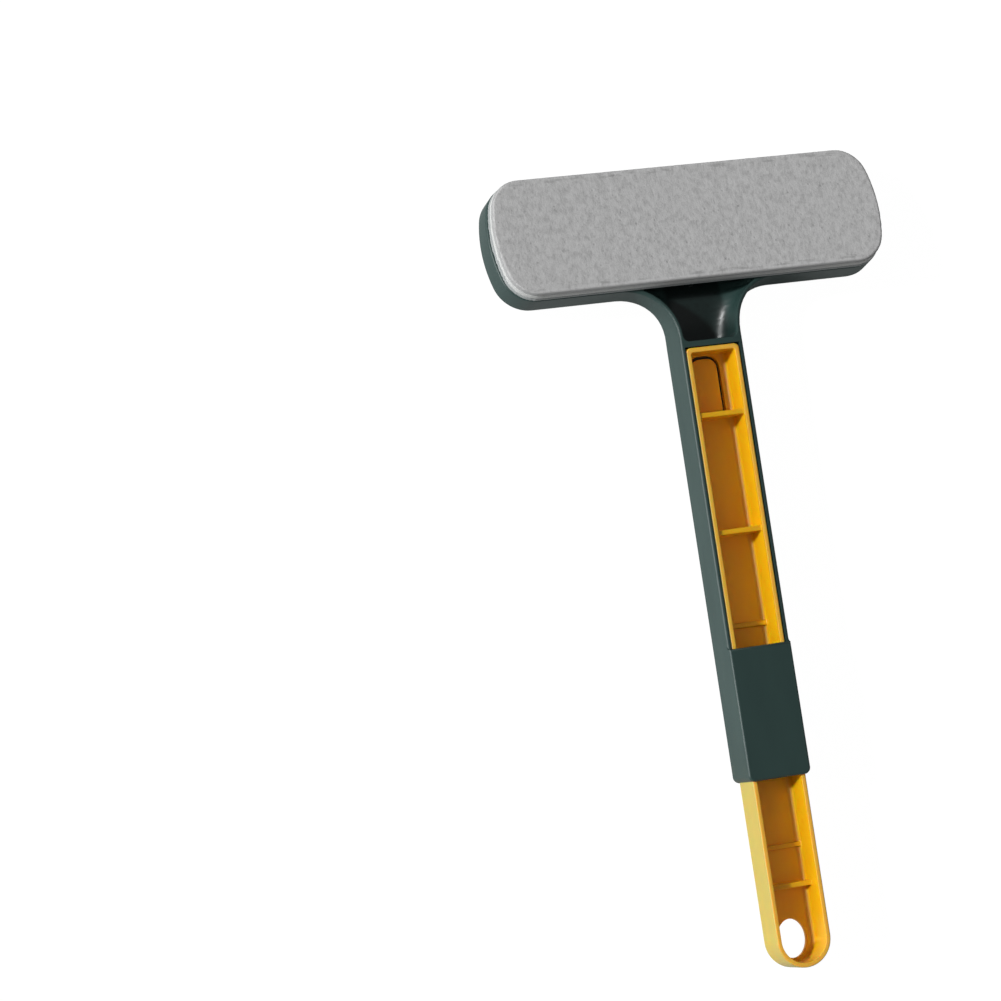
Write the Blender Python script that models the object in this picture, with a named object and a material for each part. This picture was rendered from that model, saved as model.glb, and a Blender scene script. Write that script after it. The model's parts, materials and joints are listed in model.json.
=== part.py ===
"""Window screen cleaning brush with a flat hook-and-loop pad and a telescopic handle.

The brush lies on its back: the pad faces up, the handle runs along -Y from the head,
and +X is the right of someone who looks down on the pad with the head at the top.
The neck is bent, so that the pad's face leans away from the handle and the hand stays clear
of the screen. The head is modelled flat, in line with the handle, and bent last.
The origin is under the middle of the whole brush, level with its lowest edge. Units are metres.
"""
import math

import bmesh
import bpy
from mathutils import Matrix, Vector

# Clearances
FIT_GAP = 0.0003                 # between pieces that touch or slide on each other
OVERRUN = 0.002                  # how far a cutter runs past the face it opens
WELD_DISTANCE = 0.00001

# Head of the green moulding
HEAD_LENGTH = 0.1320
HEAD_WIDTH = 0.0393
HEAD_CORNER_RADIUS = 0.0112
HEAD_END_RADIUS = 0.0466         # the two ends bulge on this radius
HEAD_DEPTH = 0.0090              # back face to the rim that the pad sits on
HEAD_RISE = 0.0030               # the head's back above the handle's back, before the bend
HEAD_WALL = 0.0018
HEAD_RIB_WALL = 0.0012
HEAD_RIB_COUNT = 5               # cross ribs inside the hollow head

# Bend of the neck, between the head's edge and the crossbar
HEAD_TILT_DEGREES = 12
BEND_LENGTH = 0.0140
NECK_STRAIGHT = 0.0032           # from the end of the bend to the crossbar

# Handle channel and sleeve of the green moulding
HANDLE_WIDTH = 0.0210
HANDLE_WALL = 0.0012
BACK_WALL = 0.0015
CHANNEL_RIM = 0.0131             # back face to the rim of the open channel
CHANNEL_LENGTH = 0.0971          # crossbar to sleeve
SLEEVE_DEPTH = 0.0144            # back face to the front of the closed sleeve
SLEEVE_LENGTH = 0.0416
SLEEVE_CORNER = 0.0020
NECK_RADIUS = 0.0155
NECK_WALL = 0.0013
NECK_RECESS_CORNER = 0.0020
NECK_FLOOR_FILLET = 0.0060
CROSSBAR_WALL = 0.0018
BACK_EDGE_ROUND = 0.0010
FRONT_EDGE_ROUND = 0.0008
BEVEL_STEPS = 3

# Cover plate and hook tapes inside the head's rim
PLATE_THICKNESS = 0.0014
TAPE_THICKNESS = 0.0009
TAPE_CORNER = 0.0030
TAPE_END_MARGIN = 0.0069         # a tape's outer end to the end of the plate
TAPE_SIDE_MARGIN = 0.0048        # a tape's long edge to the edge of the plate
TAPE_SPLIT = 0.0060              # between the two tapes

# Pad, from the loop backing out to the pile cover
PAD_LENGTH = 0.1300
PAD_WIDTH = 0.0378
PAD_CORNER_RADIUS = 0.0102
PAD_END_RADIUS = 0.0460
LOOP_BACKING_THICKNESS = 0.0007
FOAM_THICKNESS = 0.0018
FOAM_INSET = 0.0003
COVER_THICKNESS = 0.0014
COVER_EDGE_ROUND = 0.0006
COVER_ROUND_STEPS = 3

# Yellow extension bar, with its ribs' places measured from its upper end
BAR_LENGTH = 0.1957
BAR_WALL = 0.00155
BAR_FLOOR = 0.0015
BAR_DEPTH = 0.0112               # its back to its rim
BAR_TOP_CORNER = 0.0016
BAR_INNER_CORNER = 0.0008
BAR_FLOOR_FILLET = 0.0020
BAR_EDGE_ROUND = 0.0005
HANGING_HOLE_WIDTH = 0.0094
HANGING_HOLE_LENGTH = 0.0122
RIB_WALL = 0.0016
RIB_PLACES = (0.0215, 0.0586, 0.0879, 0.1580, 0.1702)
RIB_RISES = (0.0092, 0.0086, 0.0016, 0.0013, 0.0048)
EXTENSION_TRAVEL = 0.0900

# Lock tongue, cut out of the bar's floor, and the button on its back
TONGUE_WIDTH = 0.0086
TONGUE_CORNER = 0.0030
TONGUE_SLOT = 0.0010
TONGUE_TO_RIB = 0.0009
TONGUE_AXIS_INSET = 0.0006
TONGUE_TO_END_WALL = 0.0004
BUTTON_WIDTH = 0.0060
BUTTON_LENGTH = 0.0090
BUTTON_SINK = 0.0003             # how far the button stays below the handle's back face
BUTTON_SIDE_GAP = 0.0005
BUTTON_FROM_TIP = 0.0062         # tongue's free end to the middle of the button
BUTTON_EDGE_ROUND = 0.0004

# Mesh fineness
ARC_STEPS = 12
TAIL_STEPS = 32
HOLE_STEPS = 48
BEND_STEPS = 7

# Bend of the neck, worked out from the sizes above
HEAD_TILT = math.radians(HEAD_TILT_DEGREES)
BEND_RADIUS = BEND_LENGTH / HEAD_TILT
BEND_MIDDLE = HEAD_RISE + HEAD_DEPTH / 2
BEND_START = HEAD_WIDTH / 2 + BEND_LENGTH
HANDLE_BACK = (BEND_RADIUS * (1 - math.cos(HEAD_TILT)) - BEND_MIDDLE + HEAD_DEPTH / 2 * math.cos(HEAD_TILT)
               + (HEAD_WIDTH - BACK_EDGE_ROUND) * math.sin(HEAD_TILT))

# Heights, with the head still flat
HEAD_BACK = HANDLE_BACK + HEAD_RISE
HEAD_FLOOR = HEAD_BACK + BACK_WALL
HEAD_RIM = HEAD_BACK + HEAD_DEPTH
TAPE_BACK = HEAD_RIM - TAPE_THICKNESS
PLATE_FRONT = TAPE_BACK - FIT_GAP
PLATE_BACK = PLATE_FRONT - PLATE_THICKNESS
HEAD_RIB_TOP = PLATE_BACK - FIT_GAP
PAD_BACK = HEAD_RIM + FIT_GAP
FOAM_BACK = PAD_BACK + LOOP_BACKING_THICKNESS + FIT_GAP
COVER_BACK = FOAM_BACK + FOAM_THICKNESS + FIT_GAP
PAD_FRONT = COVER_BACK + COVER_THICKNESS
HANDLE_FLOOR = HANDLE_BACK + BACK_WALL
CHANNEL_TOP = HANDLE_BACK + CHANNEL_RIM
SLEEVE_FRONT = HANDLE_BACK + SLEEVE_DEPTH
OVER_SLEEVE = SLEEVE_FRONT + OVERRUN
BAR_BACK = HANDLE_FLOOR + FIT_GAP
BAR_RIM = BAR_BACK + BAR_DEPTH
BAR_FLOOR_TOP = BAR_BACK + BAR_FLOOR
SLEEVE_ROOF = BAR_RIM + FIT_GAP

# Places down the handle from the head's middle, measured along the unbent moulding
CROSSBAR_AT = BEND_START + NECK_STRAIGHT
BAR_START = CROSSBAR_AT + CROSSBAR_WALL + FIT_GAP
BAR_END = BAR_START + BAR_LENGTH
SLEEVE_AT = CROSSBAR_AT + CHANNEL_LENGTH
SLEEVE_END = SLEEVE_AT + SLEEVE_LENGTH
TONGUE_TIP = BAR_START + BAR_WALL + TONGUE_TO_END_WALL + TONGUE_SLOT
TONGUE_ROOT = BAR_START + RIB_PLACES[0] - RIB_WALL / 2 - TONGUE_TO_RIB
BUTTON_AT = TONGUE_TIP + BUTTON_FROM_TIP

# Widths, and the head's middle in Y once the whole brush is centred on the origin
BAR_WIDTH = HANDLE_WIDTH - 2 * (HANDLE_WALL + FIT_GAP)
HANGING_HOLE_AT = BAR_END - BAR_WIDTH / 2
PLATE_LENGTH = HEAD_LENGTH - 2 * (HEAD_WALL + FIT_GAP)
PLATE_WIDTH = HEAD_WIDTH - 2 * (HEAD_WALL + FIT_GAP)
TAPE_LENGTH = (PLATE_LENGTH - TAPE_SPLIT) / 2 - TAPE_END_MARGIN
TAPE_WIDTH = PLATE_WIDTH - 2 * TAPE_SIDE_MARGIN
PAD_SIDE_TOP = PAD_FRONT - COVER_EDGE_ROUND - HANDLE_BACK
FAR_REACH = ((BEND_RADIUS + PAD_SIDE_TOP - BEND_MIDDLE) * math.sin(HEAD_TILT)
             + (HEAD_WIDTH + PAD_WIDTH) / 2 * math.cos(HEAD_TILT) - BEND_START)
HEAD_Y = (BAR_END - FAR_REACH) / 2


def along(distance):
    """Y of a place that lies this far down the handle from the head's middle, before the bend."""
    return HEAD_Y - distance


def bent(y, z):
    """Where a point of the flat moulding lies once the neck is bent, as (y, z)."""
    past_start = y - along(BEND_START)
    turn = HEAD_TILT * min(max(past_start / BEND_LENGTH, 0), 1)
    arm = BEND_RADIUS + z - HANDLE_BACK - BEND_MIDDLE
    before, beyond = min(past_start, 0), max(past_start - BEND_LENGTH, 0)
    return (along(BEND_START) + before + arm * math.sin(turn) + beyond * math.cos(turn),
            HANDLE_BACK + BEND_MIDDLE - BEND_RADIUS + arm * math.cos(turn) - beyond * math.sin(turn))


def head_place():
    """Matrix that takes a flat piece of the head to its place on the bent neck."""
    flat = (along(HEAD_WIDTH / 2), HANDLE_BACK + BEND_MIDDLE)
    y, z = bent(*flat)
    turn = Matrix.Rotation(-HEAD_TILT, 4, "X")
    return Matrix.Translation((0, y, z)) @ turn @ Matrix.Translation((0, -flat[0], -flat[1]))


def arc(centre, radius, start, end, steps):
    """Points on an arc, its ends included, with the angles in degrees."""
    turns = [math.radians(start + (end - start) * i / steps) for i in range(steps + 1)]
    return [(centre[0] + radius * math.cos(t), centre[1] + radius * math.sin(t)) for t in turns]


def end_geometry(length, width, corner, end_radius):
    """Centre of the bulged end's arc, centre of its upper corner, and the angle where they meet."""
    end_x = length / 2 - end_radius
    corner_y = width / 2 - corner
    corner_x = end_x + math.sqrt((end_radius - corner) ** 2 - corner_y ** 2)
    meet = math.degrees(math.atan2(corner_y, corner_x - end_x))
    return end_x, (corner_x, corner_y), meet


def right_end(length, width, corner, end_radius):
    """Right end of a bulged bar about its own middle, from its lower edge round to its upper edge."""
    end_x, (corner_x, corner_y), meet = end_geometry(length, width, corner, end_radius)
    lower = arc((corner_x, -corner_y), corner, -90, -meet, ARC_STEPS)
    bulge = arc((end_x, 0), end_radius, -meet, meet, ARC_STEPS)
    upper = arc((corner_x, corner_y), corner, meet, 90, ARC_STEPS)
    return lower + bulge[1:-1] + upper


def bulged_bar(length, width, corner, end_radius):
    """Outline of a bar with rounded corners and bulged ends, on the head's middle."""
    right = right_end(length, width, corner, end_radius)
    left = [(-x, -y) for x, y in right]
    return [(x, y + HEAD_Y) for x, y in right + left]


def handle_outline():
    """Outline of the whole green moulding: head, neck fillets and handle down to the sleeve's end."""
    right = right_end(HEAD_LENGTH, HEAD_WIDTH, HEAD_CORNER_RADIUS, HEAD_END_RADIUS)
    left = [(-x, -y) for x, y in right]
    side = HANDLE_WIDTH / 2
    neck_y = -HEAD_WIDTH / 2 - NECK_RADIUS
    left_neck = arc((-side - NECK_RADIUS, neck_y), NECK_RADIUS, 90, 0, ARC_STEPS)
    foot_y = -SLEEVE_END + SLEEVE_CORNER
    foot_left = arc((-side + SLEEVE_CORNER, foot_y), SLEEVE_CORNER, 180, 270, ARC_STEPS // 2)
    half = left_neck + foot_left
    other = [(-x, y) for x, y in reversed(half)]
    return [(x, y + HEAD_Y) for x, y in right + left + half + other]


def rounded_box(left, right, low, high, corner, steps=ARC_STEPS // 2):
    """Outline of a rectangle with four round corners."""
    points = arc((right - corner, low + corner), corner, -90, 0, steps)
    points += arc((right - corner, high - corner), corner, 0, 90, steps)
    points += arc((left + corner, high - corner), corner, 90, 180, steps)
    points += arc((left + corner, low + corner), corner, 180, 270, steps)
    return points


def bar_outline(inset, corner):
    """Outline of the extension bar, drawn in by the inset, with two round corners and a full-round tail."""
    half = BAR_WIDTH / 2 - inset
    top = along(BAR_START) - inset
    points = arc((0, along(HANGING_HOLE_AT)), half, -180, 0, TAIL_STEPS)
    points += arc((half - corner, top - corner), corner, 0, 90, ARC_STEPS // 2)
    points += arc((-half + corner, top - corner), corner, 90, 180, ARC_STEPS // 2)
    return points


def clear_scene():
    """Remove every object that is in the scene."""
    for thing in list(bpy.data.objects):
        bpy.data.objects.remove(thing, do_unlink=True)


def new_collection(name):
    """A new collection in the scene."""
    collection = bpy.data.collections.new(name)
    bpy.context.scene.collection.children.link(collection)
    return collection


def new_material(name, colour, roughness):
    """A plain material with a colour and a roughness, not metallic."""
    material = bpy.data.materials.new(name)
    material.use_nodes = True
    shader = material.node_tree.nodes["Principled BSDF"]
    shader.inputs["Base Color"].default_value = (*colour, 1)
    shader.inputs["Roughness"].default_value = roughness
    shader.inputs["Metallic"].default_value = 0
    material.diffuse_color = (*colour, 1)
    return material


def evaluated_copy(thing):
    """Mesh of an object with its modifiers applied."""
    bpy.context.view_layer.update()
    graph = bpy.context.evaluated_depsgraph_get()
    return bpy.data.meshes.new_from_object(thing.evaluated_get(graph))


def tidy_mesh(mesh, flat_angle=math.radians(0.5)):
    """Weld loose vertices and join the triangles of each flat face."""
    work = bmesh.new()
    work.from_mesh(mesh)
    bmesh.ops.remove_doubles(work, verts=work.verts, dist=WELD_DISTANCE)
    bmesh.ops.dissolve_limit(work, angle_limit=flat_angle, verts=work.verts, edges=work.edges)
    bmesh.ops.recalc_face_normals(work, faces=work.faces)
    work.to_mesh(mesh)
    work.free()


def recap(mesh, low, high):
    """Weld the caps of an extruded outline and make each one a single face."""
    work = bmesh.new()
    work.from_mesh(mesh)
    bmesh.ops.remove_doubles(work, verts=work.verts, dist=WELD_DISTANCE)
    middle = (low + high) / 2
    caps = [face for face in work.faces if all((v.co.z > middle) == (face.verts[0].co.z > middle)
                                               for v in face.verts)]
    bmesh.ops.delete(work, geom=caps, context="FACES")
    rims = [edge for edge in work.edges if edge.is_boundary]
    bmesh.ops.delete(work, geom=[edge for edge in work.edges if edge.is_wire], context="EDGES")
    bmesh.ops.holes_fill(work, edges=rims, sides=0)
    bmesh.ops.recalc_face_normals(work, faces=work.faces)
    work.to_mesh(mesh)
    work.free()


def slab(name, points, low, high, collection):
    """A flat outline in the XY plane given a thickness from low to high."""
    curve = bpy.data.curves.new(name + "_outline", "CURVE")
    curve.dimensions = "2D"
    curve.fill_mode = "BOTH"
    curve.extrude = (high - low) / 2
    spline = curve.splines.new("POLY")
    spline.points.add(len(points) - 1)
    for point, (x, y) in zip(spline.points, points):
        point.co = (x, y, 0, 1)
    spline.use_cyclic_u = True
    drawing = bpy.data.objects.new(name + "_outline", curve)
    drawing.location.z = (high + low) / 2
    collection.objects.link(drawing)
    mesh = evaluated_copy(drawing)
    mesh.transform(drawing.matrix_world)
    bpy.data.objects.remove(drawing, do_unlink=True)
    bpy.data.curves.remove(curve)
    recap(mesh, low, high)
    mesh.name = name
    thing = bpy.data.objects.new(name, mesh)
    collection.objects.link(thing)
    return thing


def side_slab(name, points, half_width, collection):
    """An outline drawn in the YZ plane, as (y, z) points, given a thickness across X."""
    thing = slab(name, points, -half_width, half_width, collection)
    thing.data.transform(Matrix(((0, 0, 1, 0), (1, 0, 0, 0), (0, 1, 0, 0), (0, 0, 0, 1))))
    return thing


def cube_between(name, low, high, collection):
    """A box between two corners."""
    mesh = bpy.data.meshes.new(name)
    work = bmesh.new()
    bmesh.ops.create_cube(work, size=1)
    size = Vector(high) - Vector(low)
    middle = (Vector(high) + Vector(low)) / 2
    bmesh.ops.scale(work, vec=size, verts=work.verts)
    bmesh.ops.translate(work, vec=middle, verts=work.verts)
    work.to_mesh(mesh)
    work.free()
    thing = bpy.data.objects.new(name, mesh)
    collection.objects.link(thing)
    return thing


def round_edges(thing, facing, width, steps=BEVEL_STEPS, steep_share=0.8, upright_share=0.3):
    """Round the outer edges between the faces that look up (facing 1) or down (-1) and the sides."""
    work = bmesh.new()
    work.from_mesh(thing.data)
    chosen = []
    for edge in work.edges:
        if len(edge.link_faces) != 2 or not edge.is_convex:
            continue
        slopes = sorted((face.normal.z * facing for face in edge.link_faces), key=abs)
        if slopes[1] > steep_share and abs(slopes[0]) < upright_share:
            chosen.append(edge)
    bmesh.ops.bevel(work, geom=chosen, offset=width, offset_type="OFFSET", segments=steps, profile=0.5,
                    affect="EDGES", clamp_overlap=False, material=-1)
    work.to_mesh(thing.data)
    work.free()


def cut(thing, tool, operation="DIFFERENCE"):
    """Add a Boolean that takes the tool out of the thing, or joins it on."""
    modifier = thing.modifiers.new(tool.name, "BOOLEAN")
    modifier.operation = operation
    modifier.solver = "EXACT"
    modifier.object = tool
    tool.hide_render = True
    tool.display_type = "WIRE"


def settle(thing):
    """Apply the modifiers of an object, so that its edges can be rounded next."""
    mesh = evaluated_copy(thing)
    thing.modifiers.clear()
    thing.data = mesh
    tidy_mesh(mesh)


def finish(thing, material, crease=math.radians(35)):
    """Give a finished piece its material and smooth its round faces."""
    thing.data.materials.clear()
    thing.data.materials.append(material)
    thing.data.shade_smooth()
    thing.data.set_sharp_from_angle(angle=crease)


def move_origin(thing, point):
    """Put the origin of an object on a point and leave its shape where it is."""
    thing.data.transform(Matrix.Translation(-Vector(point)))
    thing.location = point


def seat_on_head(thing):
    """Take a flat piece of the head to its place, with its origin on the middle of the head's rim."""
    middle = (0, along(0), HEAD_RIM)
    move_origin(thing, middle)
    thing.matrix_world = head_place() @ Matrix.Translation(middle)


def loop_across(thing, distances):
    """Add an edge loop across the moulding at each of these distances from the head's middle."""
    work = bmesh.new()
    work.from_mesh(thing.data)
    for distance in distances:
        bmesh.ops.bisect_plane(work, geom=work.verts[:] + work.edges[:] + work.faces[:],
                               dist=WELD_DISTANCE, plane_co=(0, along(distance), 0), plane_no=(0, 1, 0))
    work.to_mesh(thing.data)
    work.free()


def bend_neck(thing):
    """Bend the neck of the flat moulding, with edge loops across the bend."""
    loop_across(thing, [BEND_START - BEND_LENGTH * i / BEND_STEPS for i in range(BEND_STEPS + 1)])
    for vert in thing.data.vertices:
        vert.co.y, vert.co.z = bent(vert.co.y, vert.co.z)


def hang_on(thing, carrier):
    """Parent an object to another and leave it where it is."""
    bpy.context.view_layer.update()
    thing.parent = carrier
    thing.matrix_parent_inverse = carrier.matrix_world.inverted()


def new_carrier(name, point, collection):
    """An empty on a joint's axis, which carries the pieces that move together."""
    carrier = bpy.data.objects.new(name, None)
    carrier.location = point
    carrier.empty_display_size = HANDLE_WIDTH
    collection.objects.link(carrier)
    return carrier


def eased(distance_from, distance_to, height_from, height_to):
    """A smooth step between two heights, as (y, z) points down the handle."""
    points = []
    for i in range(ARC_STEPS + 1):
        share = i / ARC_STEPS
        ease = (1 - math.cos(math.pi * share)) / 2
        points.append((along(distance_from + (distance_to - distance_from) * share),
                       height_from + (height_to - height_from) * ease))
    return points


def front_profile():
    """The space over the green moulding: over the head, up the neck and over the channel, as (y, z)."""
    points = [(along(-HEAD_WIDTH), HEAD_RIM)]
    points += eased(HEAD_WIDTH / 2 + FIT_GAP, CROSSBAR_AT, HEAD_RIM, CHANNEL_TOP)
    points += [(along(SLEEVE_AT), CHANNEL_TOP), (along(SLEEVE_AT), OVER_SLEEVE),
               (along(-HEAD_WIDTH), OVER_SLEEVE)]
    return points


def back_profile(lift):
    """The space under the head and the neck, raised by the lift, as (y, z)."""
    points = [(along(-HEAD_WIDTH), HEAD_BACK + lift)]
    points += eased(HEAD_WIDTH / 2 + FIT_GAP, CROSSBAR_AT, HEAD_BACK + lift, HANDLE_BACK + lift)
    points += [(along(CROSSBAR_AT), HANDLE_BACK - OVERRUN), (along(-HEAD_WIDTH), HANDLE_BACK - OVERRUN)]
    return points


def channel_profile():
    """The channel that the bar slides in, open above the sleeve and roofed inside it, as (y, z)."""
    end = along(SLEEVE_END + OVERRUN)
    start = along(CROSSBAR_AT + CROSSBAR_WALL)
    return [(start, HANDLE_FLOOR), (end, HANDLE_FLOOR), (end, SLEEVE_ROOF), (along(SLEEVE_AT), SLEEVE_ROOF),
            (along(SLEEVE_AT), OVER_SLEEVE), (start, OVER_SLEEVE)]


def head_hollow(cutters):
    """Cutter for the hollow head, with slots that leave its stiffening ribs standing."""
    inset = HEAD_WALL
    points = bulged_bar(HEAD_LENGTH - 2 * inset, HEAD_WIDTH - 2 * inset, HEAD_CORNER_RADIUS - inset,
                        HEAD_END_RADIUS - inset)
    hollow = slab("head_hollow_cut", points, HEAD_FLOOR, HEAD_RIM + OVERRUN, cutters)
    half_length, half_width, half_rib = HEAD_LENGTH / 2, HEAD_WIDTH / 2, HEAD_RIB_WALL / 2
    low = HEAD_FLOOR - OVERRUN
    pitch = HEAD_LENGTH / (HEAD_RIB_COUNT + 1)
    for i in range(HEAD_RIB_COUNT):
        x = (i + 1) * pitch - half_length
        rib = cube_between(f"head_rib_{i + 1}", (x - half_rib, along(half_width), low),
                           (x + half_rib, along(-half_width), HEAD_RIB_TOP), cutters)
        cut(hollow, rib)
    spine = cube_between("head_spine", (-half_length, along(half_rib), low),
                         (half_length, along(-half_rib), HEAD_RIB_TOP), cutters)
    cut(hollow, spine)
    return hollow


def recess_half_width(distance):
    """Half the width of the neck's recess at this distance from the head's middle."""
    rise = min(max(HEAD_WIDTH / 2 + NECK_RADIUS - distance, 0), NECK_RADIUS)
    half = HANDLE_WIDTH / 2 + NECK_RADIUS - math.sqrt((NECK_RADIUS + NECK_WALL) ** 2 - rise ** 2)
    reach = max(NECK_RECESS_CORNER - (CROSSBAR_AT - distance), 0)
    return half - NECK_RECESS_CORNER + math.sqrt(max(NECK_RECESS_CORNER ** 2 - reach ** 2, 0))


def neck_recess(cutters):
    """Cutter for the recess from the head's hollow to the crossbar, with even walls and floor fillets."""
    half, corner = HANDLE_WIDTH / 2 - NECK_WALL, NECK_FLOOR_FILLET
    points = arc((-half + corner, HANDLE_FLOOR + corner), corner, 180, 270, ARC_STEPS // 2)
    points += arc((half - corner, HANDLE_FLOOR + corner), corner, 270, 360, ARC_STEPS // 2)
    points += [(half, OVER_SLEEVE), (-half, OVER_SLEEVE)]
    head_end = HEAD_WIDTH / 2 - HEAD_WALL - FIT_GAP
    recess = slab("neck_recess_cut", points, along(CROSSBAR_AT), along(head_end), cutters)
    recess.data.transform(Matrix(((1, 0, 0, 0), (0, 0, 1, 0), (0, 1, 0, 0), (0, 0, 0, 1))))
    recess.data.flip_normals()
    underside = eased(HEAD_WIDTH / 2 + FIT_GAP, CROSSBAR_AT, HEAD_BACK, HANDLE_BACK)
    ends = arc((0, CROSSBAR_AT - NECK_RECESS_CORNER), NECK_RECESS_CORNER, 0, 90, ARC_STEPS // 2)
    loop_across(recess, [HEAD_Y - y for y, z in underside[:-1]] + [distance for x, distance in ends[:-1]])
    for vert in recess.data.vertices:
        distance = HEAD_Y - vert.co.y
        vert.co.x *= recess_half_width(distance) / half
        if vert.co.z < HANDLE_FLOOR + 2 * corner:
            share = (distance - HEAD_WIDTH / 2 - FIT_GAP) / (CROSSBAR_AT - HEAD_WIDTH / 2 - FIT_GAP)
            vert.co.z += (HEAD_BACK - HANDLE_BACK) * (1 + math.cos(math.pi * max(share, 0))) / 2
    return recess


def button_slot(cutters):
    """Cutter for the slot in the handle's back that the lock button travels in."""
    half = BUTTON_WIDTH / 2 + BUTTON_SIDE_GAP
    reach = BUTTON_LENGTH / 2 + BUTTON_SIDE_GAP
    points = rounded_box(-half, half, along(BUTTON_AT + EXTENSION_TRAVEL + reach), along(BUTTON_AT - reach),
                         BUTTON_WIDTH / 2)
    return slab("button_slot_cut", points, HANDLE_BACK - OVERRUN, HANDLE_FLOOR + OVERRUN, cutters)


def make_handle_body(parts, cutters, material):
    """The green moulding: hollow head, bent neck, open channel, and the sleeve that closes over the bar."""
    body = slab("handle_body", handle_outline(), HANDLE_BACK, SLEEVE_FRONT, parts)
    cut(body, side_slab("front_cut", front_profile(), HEAD_LENGTH / 2 + OVERRUN, cutters))
    cut(body, side_slab("back_cut", back_profile(0), HEAD_LENGTH / 2 + OVERRUN, cutters))
    settle(body)
    loop_across(body, [SLEEVE_AT - FRONT_EDGE_ROUND])
    round_edges(body, -1, BACK_EDGE_ROUND)
    round_edges(body, 1, FRONT_EDGE_ROUND)
    cut(body, head_hollow(cutters))
    cut(body, neck_recess(cutters))
    cut(body, side_slab("channel_cut", channel_profile(), BAR_WIDTH / 2 + FIT_GAP, cutters))
    cut(body, button_slot(cutters))
    settle(body)
    bend_neck(body)
    finish(body, material)
    return body


def make_cover_plate(parts, material):
    """The plate that closes the hollow head and carries the hook tapes."""
    inset = HEAD_WALL + FIT_GAP
    points = bulged_bar(PLATE_LENGTH, PLATE_WIDTH, HEAD_CORNER_RADIUS - inset, HEAD_END_RADIUS - inset)
    plate = slab("head_cover_plate", points, PLATE_BACK, PLATE_FRONT, parts)
    finish(plate, material)
    seat_on_head(plate)
    return plate


def make_hook_tape(name, side, parts, material):
    """One of the two hook tapes that hold the pad."""
    middle = side * (TAPE_SPLIT + TAPE_LENGTH) / 2
    points = rounded_box(middle - TAPE_LENGTH / 2, middle + TAPE_LENGTH / 2, along(TAPE_WIDTH / 2),
                         along(-TAPE_WIDTH / 2), TAPE_CORNER)
    tape = slab(name, points, TAPE_BACK, HEAD_RIM, parts)
    finish(tape, material)
    seat_on_head(tape)
    return tape


def pad_outline(inset):
    """Outline of the pad, drawn in by the inset."""
    return bulged_bar(PAD_LENGTH - 2 * inset, PAD_WIDTH - 2 * inset, PAD_CORNER_RADIUS - inset,
                      PAD_END_RADIUS - inset)


def make_pad(parts, materials, carrier):
    """The pad: a loop backing, a foam core and the pile cover, one on another."""
    backing = slab("pad_loop_backing", pad_outline(0), PAD_BACK, PAD_BACK + LOOP_BACKING_THICKNESS, parts)
    foam = slab("pad_foam", pad_outline(FOAM_INSET), FOAM_BACK, FOAM_BACK + FOAM_THICKNESS, parts)
    cover = slab("pad_cover", pad_outline(0), COVER_BACK, PAD_FRONT, parts)
    round_edges(cover, 1, COVER_EDGE_ROUND, COVER_ROUND_STEPS)
    for piece in (backing, foam, cover):
        finish(piece, materials[piece.name])
        seat_on_head(piece)
        hang_on(piece, carrier)


def bar_trough(cutters):
    """A long block with two round lower edges, which gives the bar's channel its floor fillets."""
    half, top = BAR_WIDTH / 2 - BAR_WALL, BAR_RIM + 2 * OVERRUN
    corner = BAR_FLOOR_FILLET
    points = arc((-half + corner, BAR_FLOOR_TOP + corner), corner, 180, 270, ARC_STEPS // 2)
    points += arc((half - corner, BAR_FLOOR_TOP + corner), corner, 270, 360, ARC_STEPS // 2)
    points += [(half, top), (-half, top)]
    trough = slab("bar_trough", points, along(BAR_END), along(BAR_START), cutters)
    trough.data.transform(Matrix(((1, 0, 0, 0), (0, 0, 1, 0), (0, 1, 0, 0), (0, 0, 0, 1))))
    trough.data.flip_normals()
    return trough


def bar_hollow(cutters):
    """Cutter for the bar's channel, round along its foot, with slots that leave the ribs standing."""
    hollow = slab("bar_hollow_cut", bar_outline(BAR_WALL, BAR_INNER_CORNER), BAR_FLOOR_TOP - OVERRUN,
                  BAR_RIM + OVERRUN, cutters)
    cut(hollow, bar_trough(cutters), "INTERSECT")
    half = BAR_WIDTH / 2
    for i, (place, rise) in enumerate(zip(RIB_PLACES, RIB_RISES)):
        middle = along(BAR_START + place)
        rib = cube_between(f"bar_rib_{i + 1}", (-half, middle - RIB_WALL / 2, BAR_BACK),
                           (half, middle + RIB_WALL / 2, BAR_FLOOR_TOP + rise), cutters)
        cut(hollow, rib)
    return hollow


def make_extension_bar(parts, cutters, material, carrier):
    """The yellow bar: a channel with cross ribs, a round tail and a hanging hole."""
    bar = slab("extension_bar", bar_outline(0, BAR_TOP_CORNER), BAR_BACK, BAR_RIM, parts)
    round_edges(bar, -1, BAR_EDGE_ROUND)
    round_edges(bar, 1, BAR_EDGE_ROUND)
    cut(bar, bar_hollow(cutters))
    last_turn = 360 - 360 / HOLE_STEPS
    hole = arc((0, along(HANGING_HOLE_AT)), HANGING_HOLE_LENGTH / 2, 0, last_turn, HOLE_STEPS - 1)
    hole = [(x * HANGING_HOLE_WIDTH / HANGING_HOLE_LENGTH, y) for x, y in hole]
    cut(bar, slab("hanging_hole_cut", hole, BAR_BACK - OVERRUN, BAR_RIM, cutters))
    half = TONGUE_WIDTH / 2 + TONGUE_SLOT
    opening = tongue_outline(half, along(TONGUE_TIP - TONGUE_SLOT), along(TONGUE_ROOT + FIT_GAP),
                             TONGUE_CORNER + TONGUE_SLOT)
    cut(bar, slab("tongue_opening_cut", opening, BAR_BACK - OVERRUN, BAR_FLOOR_TOP + OVERRUN, cutters))
    finish(bar, material)
    move_origin(bar, carrier.location)
    hang_on(bar, carrier)
    return bar


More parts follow.
